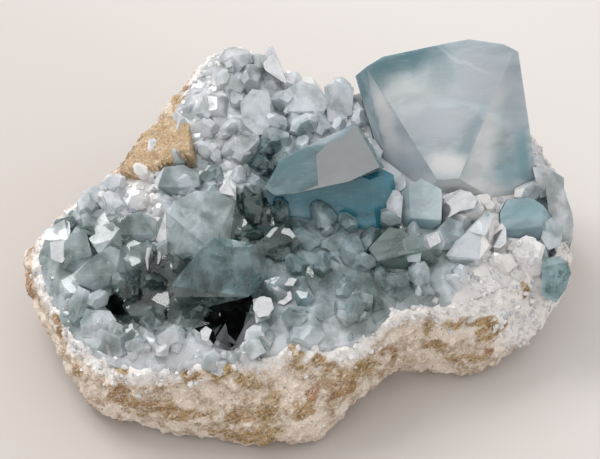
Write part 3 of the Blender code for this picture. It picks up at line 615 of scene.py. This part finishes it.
def stains(places):
    """How stained and how rusty the rock is at each place."""
    x, y = pixels(places)
    seed = np.array([noise.noise_vector(Vector(p) / (3 * MM))[:2] for p in places])
    x, y = x + seed[:, 0] * 8, y + seed[:, 1] * 8
    front = np.asarray(places)[:, 1] < 40 * MM
    stained, rusty = np.zeros(len(x)), np.zeros(len(x))
    for px, py, wide, high, turn, rust in STAINS:
        turn = math.radians(turn)
        u = (x - px) * math.cos(turn) - (y - py) * math.sin(turn)
        v = (x - px) * math.sin(turn) + (y - py) * math.cos(turn)
        share = np.clip(1.6 - np.hypot(u / wide, v / high) * 0.9, 0, 1)
        rusty = np.where(share > stained, rust, rusty)
        stained = np.maximum(stained, share)
    other = np.array([noise.fractal(Vector(p) / (9 * MM), 0.8, 2.1, 3) for p in places])
    behind = np.clip(other * 2.5, 0, 1) * ~front
    rusty = np.where(behind > stained, np.clip(other, 0, 0.6), rusty)
    return np.maximum(stained, behind), rusty


def rough_places(places, ways):
    """The places moved along these ways into granular, broken rock."""
    moved = []
    for place, way in zip(places, ways):
        place = place / MM
        lump = noise.fractal(place / 7, 0.8, 2.1, 4) * 1.0
        ridge = (0.4 - abs(noise.noise(place / 5 + Vector((3, 9, 1))))) * 1.8
        grain = noise.noise(place / 0.9) * 0.4 + noise.noise(place / 2.1) * 0.7
        place = place + way * (lump + ridge + grain) * min(1, max(0, place.z) / 1.5)
        place.z = max(0, place.z)
        moved.append(place * MM)
    return moved


def build_rock():
    """The rock's own form with a granular, broken surface; its pits are painted as shade in the rock material."""
    obj = new_object("form", welded("matrix"))
    remesh = obj.modifiers.new("Remesh", "REMESH")
    remesh.mode = "VOXEL"
    remesh.voxel_size = 0.7 * MM
    graph = bpy.context.evaluated_depsgraph_get()
    mesh = bpy.data.meshes.new_from_object(obj.evaluated_get(graph))
    bpy.data.objects.remove(obj)
    ways = [vert.normal.copy() for vert in mesh.vertices]
    places = rough_places([vert.co.copy() for vert in mesh.vertices], ways)
    mesh.vertices.foreach_set("co", np.array(places).ravel())
    mesh.update()
    druse = tree_of("druse")
    near = np.array([druse.find_nearest(place, 15 * MM)[3] or 15 * MM for place in places])
    stained, rusty = stains(places)
    frosty = np.clip(1.05 - near / (6 * MM), 0, 1)
    x, y = pixels(places)
    frosty = np.maximum(frosty, np.clip(1.6 - np.hypot((x - 520) / 60, (y - 300) / 40), 0, 0.9))
    frosty *= 1 - 0.7 * stained
    give(mesh, {"stained": stained, "rusty": rusty, "frosty": frosty})
    obj = new_object("rock", mesh)
    grains = [i for i in range(len(places)) if ways[i].z > -0.3]
    return obj, [(places[i], ways[i], frosty[i]) for i in grains]


def bare_patch():
    """A slab of the rock that shows through the crystals and follows the slope of their bed."""
    druse = tree_of("druse")
    step = 2.0
    low, high = np.min(BARE, axis=0) - 2, np.max(BARE, axis=0) + 2
    across, down = int((high[0] - low[0]) / step), int((high[1] - low[1]) / step)
    x, y = np.meshgrid(low[0] + np.arange(across) * step, low[1] + np.arange(down) * step)
    x, y = x.ravel(), y.ravel()
    within, away = inside(BARE, x, y)
    hits = [druse.ray_cast(EYE, sight(*both))[0] for both in zip(x[within], y[within])]
    hits = np.array([hit for hit in hits if hit is not None])
    flat = np.column_stack((hits[:, :2], np.ones(len(hits))))
    slope = np.linalg.lstsq(flat, hits[:, 2], rcond=None)[0]
    lift = np.quantile(hits[:, 2] - flat @ slope, 0.62)
    normal = Vector((-slope[0], -slope[1], 1)).normalized()
    level = Vector((0, 0, slope[2] + lift))
    index, places, faces = {}, [], []
    for k, (px, py) in enumerate(zip(x, y)):
        if within[k] or away[k] < step * 1.2:
            ray = sight(px, py)
            place = EYE + ray * ((level - EYE).dot(normal) / ray.dot(normal))
            rise = min(1.5, away[k] / 6) - 0.6 if within[k] else -1.5
            index[k] = len(places)
            places.append(place + normal * rise * MM)
    for k in index:
        corners = (k, k + across, k + across + 1, k + 1)
        if all(corner in index for corner in corners) and k % across < across - 1:
            faces.append([index[corner] for corner in corners])
    count = len(places)
    used = {(face[i - 1], face[i]) for face in faces for i in range(4)}
    rim = [(one, other) for one, other in used if (other, one) not in used]
    sides = [[other, one, one + count, other + count] for one, other in sorted(rim)]
    under = [[i + count for i in reversed(face)] for face in faces]
    rough = rough_places(places, [normal] * count)
    verts = rough + [place - normal * 4 * MM for place in places]
    shares = {
        "stained": np.full(2 * count, 1.5), "rusty": np.full(2 * count, 0.25),
        "frosty": np.zeros(2 * count),
    }
    return new_mesh("bare_patch", verts, faces + sides + under, shares)


# The crystals

def small_crystal(draw, root=1.6):
    """A prism with a chisel tip, or a pointed one, standing on the origin along z."""
    axis, side, across = Vector((0, 0, 1)), Vector((1, 0, 0)), Vector((0, 1, 0))
    flat, tall = draw.uniform(0.55, 1.0), draw.uniform(0.1, 0.9)
    tip = draw.choice((0.0, 0.15, 0.5))
    planes = [(axis * -root, -axis)]
    for way in (-1, 1):
        planes.append((side * way * flat, side * way))
        for other in (-1, 1):
            roof = across * way * math.sin(TO_ROOF_FACE) + side * other * math.cos(TO_ROOF_FACE)
            planes.append((roof * draw.uniform(0.8, 1.1), roof))
        chisel = axis * math.sin(TO_CHISEL_FACE) + side * way * math.cos(TO_CHISEL_FACE)
        planes.append((axis * (tall + draw.choice((0, 0, tip))), chisel))
        prism = axis * math.cos(TO_PRISM_FACE) + across * way * math.sin(TO_PRISM_FACE)
        planes.append((axis * (tall + draw.choice((0, tip))), prism))
    bm = polyhedron(planes, 40)
    verts = np.array([v.co[:] for v in bm.verts])
    bm.verts.index_update()
    faces = [[v.index for v in face.verts] for face in bm.faces]
    bm.free()
    return verts, faces


def grow(name, stands, shapes, draw):
    """One mesh of crystals: each stand is a place, its normal, half a width, lean and shares."""
    verts, faces, shares, total = [], [], [], 0
    for place, normal, half, lean, values in stands:
        axis = (normal + Vector((draw.gauss(0, lean), draw.gauss(0, lean), 0))).normalized()
        turn = axis.to_track_quat("Z", "Y").to_matrix()
        turn @= Matrix.Rotation(draw.uniform(0, math.tau), 3, "Z")
        shape, corners = draw.choice(shapes)
        verts.append(shape @ np.array(turn).T * half + np.array(place))
        faces += [[i + total for i in face] for face in corners]
        total += len(shape)
        shares += [values] * len(shape)
    shares = np.clip(np.array(shares), 0, (1.3, 0.8, 1))
    return new_mesh(
        name, np.concatenate(verts), faces,
        {"milky": shares[:, 0], "dark": shares[:, 1], "teal": shares[:, 2]},
    )


def bed_crystals():
    """Crystals grown into each other all over the bed, the largest first."""
    draw = random.Random(5)
    shapes = [small_crystal(draw) for _ in range(40)]
    low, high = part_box("druse")
    bed, crust, large = tree_of("matrix"), tree_of("druse"), tree_of(*LARGE)
    down = Vector((0, 0, -1))
    found = []
    for _ in range(26000):
        top = Vector((draw.uniform(low.x, high.x), draw.uniform(low.y, high.y), 0.2))
        rock, normal, _, _ = bed.ray_cast(top, down)
        above = crust.ray_cast(top, down)[0]
        if rock is None or above is None or large.ray_cast(top, down)[0] is not None:
            continue
        if normal.z > 0.4 and rock.z < above.z < rock.z + 6 * MM:
            found.append((above, normal))
    local = tones([place for place, _ in found])
    hole = in_hollow([place for place, _ in found])
    free = ~covered([place for place, _ in found])
    order = []
    for k, (_, _, _, size) in enumerate(local):
        if free[k] and hole[k] < 0.6:
            order.append((size * draw.choice((0.35, 0.6, 0.8, 1.0, 1.3)) * draw.uniform(0.8, 1.2) * MM, k))
    order.sort(reverse=True)
    cell_size = 5 * MM
    grid, stands = {}, []
    for half, k in order:
        place, normal = found[k]
        key = (int(place.x // cell_size), int(place.y // cell_size))
        near = [
            other for i in (-1, 0, 1) for j in (-1, 0, 1)
            for other in grid.get((key[0] + i, key[1] + j), ())
        ]
        if any((place - other).length < (half + other_half) * 0.58 for other, other_half in near):
            continue
        rim = [
            crust.ray_cast(place + Vector((math.cos(t), math.sin(t), 0)) * half * 1.3 + Vector((0, 0, 0.03)), down)[0]
            for t in (0, 1.05, 2.1, 3.14, 4.2, 5.2)
        ]
        if any(other is None for other in rim):
            if half > 0.9 * MM:
                continue
            half *= 0.7
        grid.setdefault(key, []).append((place, half))
        m, d, t, _ = local[k]
        values = (m + draw.gauss(0, 0.14), d + draw.gauss(0, 0.06), t + draw.gauss(0, 0.12))
        stands.append((place - normal * half * 0.5, normal, half, 0.4, values))
    return grow("bed_crystals", stands, shapes, draw), stands


def crust_places(draw, count):
    """Places all over the crust: each with its normal and how pale the crystals are there."""
    low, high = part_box("druse")
    rock, crust, large = tree_of("matrix"), tree_of("druse"), tree_of(*LARGE)
    down = Vector((0, 0, -1))
    found = []
    for _ in range(count):
        top = Vector((draw.uniform(low.x, high.x), draw.uniform(low.y, high.y), 0.2))
        place, normal, _, _ = crust.ray_cast(top, down)
        if place is None or normal.z < 0.3 or large.ray_cast(top, down)[0] is not None:
            continue
        under = rock.ray_cast(top, down)[0]
        if under is not None and place.z < under.z + 5 * MM:
            found.append((place, normal))
    places = [place for place, _ in found]
    pale = np.clip(tones(places)[:, 0] - 0.78, 0, 1) * 4
    return [(*both, share) for both, share in zip(found, pale)]


def frost(rock_places):
    """Tiny pale crystals on the pale parts of the bed and, fewer the further down, on the rock."""
    draw = random.Random(8)
    rock_places = rock_places + crust_places(draw, 30000)
    shapes = [small_crystal(draw, 0.6) for _ in range(16)]
    stands = []
    places = [place for place, _, _ in rock_places]
    free = ~covered(places) & (in_hollow(places) == 0)
    for (place, way, share), clear in zip(rock_places, free):
        if clear and draw.random() < share * 0.13:
            values = (1.18 + draw.gauss(0, 0.12), 0, 0.03)
            stands.append((place, way, draw.uniform(0.35, 1.0) * MM, 0.6, values))
    return grow("frost", stands, shapes, draw)


def facet_crystal(corners, lean, surface, deep=3 * MM):
    """A crystal that shows this polygon, which leans so or mirrors the window to the camera."""
    x, y = np.mean(corners, axis=0)
    found = surface.ray_cast(EYE, sight(x, y))[0]
    if found is None:
        found = surface.find_nearest(EYE + sight(x, y) * VIEW_DISTANCE)[0]
    normal = facing(*lean) if lean else ((EYE - found).normalized() + TO_WINDOW).normalized()
    out = 0.0
    rays = [sight(*corner) for corner in corners]
    for ray in rays:
        on_plane = (found - EYE).dot(normal) / ray.dot(normal)
        hit = surface.ray_cast(EYE, ray)[0]
        if hit is not None:
            out = max(out, on_plane - (hit - EYE).length)
    centre = found + TO_VIEWER * (min(out * 0.7, 2 * MM) + 0.15 * MM)
    front = [EYE + ray * ((centre - EYE).dot(normal) / ray.dot(normal)) for ray in rays]
    back = [corner.lerp(centre, 0.12) - TO_VIEWER * deep for corner in front]
    count = len(front)
    faces = [list(range(count)), list(range(2 * count - 1, count - 1, -1))]
    faces += [[k, (k + 1) % count, count + (k + 1) % count, count + k] for k in range(count)]
    return front + back, faces


def facets(name, wanted):
    """The crystals that show these facets, each given by its corners, lean and tone."""
    surface = tree_of("druse", *LARGE)
    verts, faces, shares = [], [], []
    for corners, lean, values in wanted:
        made, sides = facet_crystal(corners, lean, surface)
        faces += [[i + len(verts) for i in side] for side in sides]
        verts += made
        shares += [values] * len(made)
    milky, dark, teal = np.array(shares).T
    return new_mesh(name, verts, faces, {"milky": milky, "dark": dark, "teal": teal})


def curl():
    """A small bent ribbon of white crystal."""
    surface = tree_of("druse")
    path = []
    for px, py in CURL:
        found = surface.ray_cast(EYE, sight(px, py))[0]
        path.append(found + TO_VIEWER * 0.3 * MM)
    verts, faces = [], []
    for k, place in enumerate(path):
        along = (path[min(k + 1, len(path) - 1)] - path[max(k - 1, 0)]).normalized()
        side = along.cross(TO_VIEWER).normalized()
        thick = (0.25 + 0.4 * math.sin(math.pi * k / (len(path) - 1))) * MM
        for turn in range(6):
            angle = math.tau * turn / 6
            verts.append(place + (side * math.cos(angle) + TO_VIEWER * math.sin(angle)) * thick)
        if k:
            start = len(verts) - 12
            faces += [[start + t, start + (t + 1) % 6, start + 6 + (t + 1) % 6, start + 6 + t] for t in range(6)]
    faces += [list(range(6)), list(range(len(verts) - 6, len(verts)))]
    count = len(verts)
    return new_mesh("curl", verts, faces, {
        "milky": np.full(count, 1.0), "dark": np.zeros(count), "teal": np.zeros(count),
    })


def prism_step():
    """The last growth layer on the prism: a thin plate that mirrors the lamp above."""
    surface = tree_of("prism_crystal")
    middle = surface.ray_cast(EYE, sight(345, 158))[0]
    normal = facing(-7, 14)
    centre = middle + TO_VIEWER * 1.0 * MM
    front = []
    for corner in STEP:
        ray = sight(*corner)
        front.append(EYE + ray * ((centre - EYE).dot(normal) / ray.dot(normal)))
    back = [corner - TO_VIEWER * 2.5 * MM for corner in front]
    count = len(front)
    faces = [list(range(count)), list(range(2 * count - 1, count - 1, -1))]
    faces += [[k, (k + 1) % count, count + (k + 1) % count, count + k] for k in range(count)]
    to_eye = (EYE - middle).normalized()
    mirrored = normal * 2 * normal.dot(to_eye) - to_eye
    return new_mesh("prism_step", front + back, faces), middle, mirrored


def build_druse():
    """The druse's own form, with each face's own shares."""
    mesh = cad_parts["druse"].data.copy()
    bm = bmesh.new()
    bm.from_mesh(mesh)
    bmesh.ops.split_edges(bm, edges=bm.edges)
    bm.to_mesh(mesh)
    bm.free()
    centres = np.zeros((len(mesh.vertices), 3))
    for face in mesh.polygons:
        for i in face.vertices:
            centres[i] = face.center
    shares = tones(centres)[:, :3]
    x, y = pixels(centres)
    for px, py, radius, *values in SINGLE:
        shares[np.hypot(x - px, y - py) < radius] = values
    hole = in_hollow(centres)
    # Inside the hollows the bed is painted dark to black as shade and loses its milkiness.
    shares[:, 1] = np.maximum(shares[:, 1], hole)
    shares[:, 0] *= 1 - hole
    give(mesh, {"milky": shares[:, 0], "dark": shares[:, 1], "teal": shares[:, 2]})
    # Faces deep inside a hollow take the black painted-shade material.
    deep = [face.index for face in mesh.polygons if hole[face.vertices[0]] > 0.5]
    return new_object("druse_bed", mesh), deep


def bevelled(node):
    """The large crystal with its edges slightly blunted."""
    mesh = welded(node)
    bm = bmesh.new()
    bm.from_mesh(mesh)
    sharp = [edge for edge in bm.edges if len(edge.link_faces) == 2 and edge.calc_face_angle() > 0.15]
    bmesh.ops.bevel(bm, geom=sharp, offset=0.18 * MM, segments=1, affect="EDGES", clamp_overlap=True)
    bm.to_mesh(mesh)
    bm.free()
    return new_object(node + "_shape", mesh)


rock, rock_places = build_rock()
stone = rock_material()
settle(rock, "matrix", stone)
settle(bare_patch(), "matrix", stone)
grown = small_crystal_material()
bed, deep = build_druse()
settle(bed, "druse", grown)
bed.data.materials.append(painted_shade_hollow_material())
for k in deep:
    bed.data.polygons[k].material_index = 1
scattered, _ = bed_crystals()
settle(scattered, "druse", grown)
settle(frost(rock_places), "druse", grown)
mirrors = [(corners, None, (0.8, 0.0, 0.1)) for corners in BRIGHT]
settle(facets("bright_facets", mirrors), "druse", facet_material())
settle(facets("pale_facets", FACETS), "druse", grown)
settle(curl(), "druse", grown)
for name in LARGE:
    material = large_crystal_material(name)
    settle(bevelled(name), name, material)
step, step_place, lamp_way = prism_step()
settle(step, "prism_crystal", step_material())

# The studio

bpy.ops.mesh.primitive_plane_add(size=6)
floor = bpy.context.active_object
floor.name = "floor"
material, tree, shader = material_tree("floor")
# Painted light falloff: the floor's colour grows lighter towards the back right.
across = add(tree, "ShaderNodeVectorMath", {0: place_in(tree), 1: (1.6, 1.0, 0)}, operation="DOT_PRODUCT")
painted_light_falloff = ranged(tree, across.outputs["Value"], -0.12, 0.2)
tree.links.new(mixed(tree, painted_light_falloff, (0.50, 0.465, 0.44), (0.60, 0.575, 0.56)), shader.inputs["Base Color"])
shader.inputs["Roughness"].default_value = 0.85
floor.data.materials.append(material)


def softbox(name, target, way, distance, size, power):
    light = bpy.data.lights.new(name, "AREA")
    light.shape = "RECTANGLE"
    light.size, light.size_y = size
    light.energy = power
    obj = bpy.data.objects.new(name, light)
    obj.location = target + way * distance
    obj.rotation_euler = way.to_track_quat("Z", "Y").to_euler()
    bpy.context.scene.collection.objects.link(obj)
    return obj


softbox("window", VIEW_CENTRE, TO_WINDOW, 0.9, (0.44, 0.44), 4.5)
softbox("lamp", step_place, lamp_way, 1.0, (0.22, 0.22), 0.24)

world = bpy.data.worlds.new("world")
world.use_nodes = True
world.node_tree.nodes["Background"].inputs["Color"].default_value = (1.0, 0.98, 0.965, 1)
world.node_tree.nodes["Background"].inputs["Strength"].default_value = 1.02
bpy.context.scene.world = world

camera = bpy.data.cameras.new("camera")
camera.sensor_width = SENSOR
camera.lens = SENSOR * VIEW_DISTANCE / FRAME_WIDTH
camera.clip_start = 0.01
eye = bpy.data.objects.new("camera", camera)
eye.location = EYE
eye.rotation_euler = (math.pi / 2 - VIEW_ELEVATION, 0, 0)
bpy.context.scene.collection.objects.link(eye)
bpy.context.scene.camera = eye

scene = bpy.context.scene
scene.view_settings.view_transform = "Standard"
scene.cycles.use_denoising = True
scene.cycles.max_bounces = 14
scene.cycles.transmission_bounces = 14
scene.cycles.sample_clamp_indirect = 4
